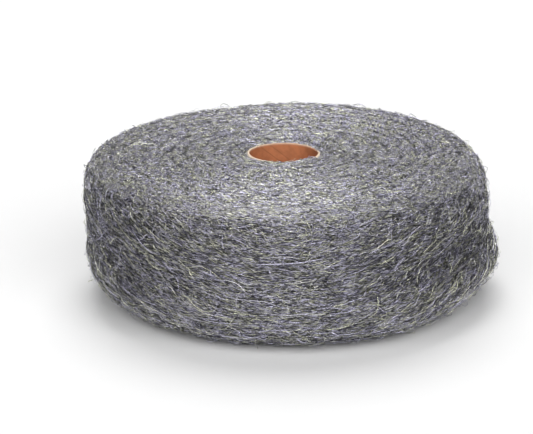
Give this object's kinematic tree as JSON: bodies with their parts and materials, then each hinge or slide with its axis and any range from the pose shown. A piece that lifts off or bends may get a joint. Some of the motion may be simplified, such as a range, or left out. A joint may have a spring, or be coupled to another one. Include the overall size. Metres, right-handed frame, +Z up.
{
  "type": "steel wool roll",
  "caption": "Roll of steel wool: a thick ribbon of wool wound in a spiral on a paper tube, standing on its end, with soft edges and a torn loose end.",
  "frame": {"origin": "middle of the roll's outline seen from above, on the plane that it stands on; the tube's axis is 6.1 mm towards -X and 2.3 mm towards -Y of it", "axes": "+Z up along the tube, towards the end that shows in the picture; +X to the picture's right; -Y towards the viewer"},
  "size_m": [0.3092, 0.3142, 0.1096],
  "materials": {
    "steel_wool": "fine curly steel fibres, wound loosely, satin grey",
    "brown_paper": "spirally wound kraft paper, matt, with a pale torn rim"
  },
  "bodies": {
    "root": {"steel_wool": "steel_wool", "paper_core": "brown_paper"}
  },
  "joints": []
}
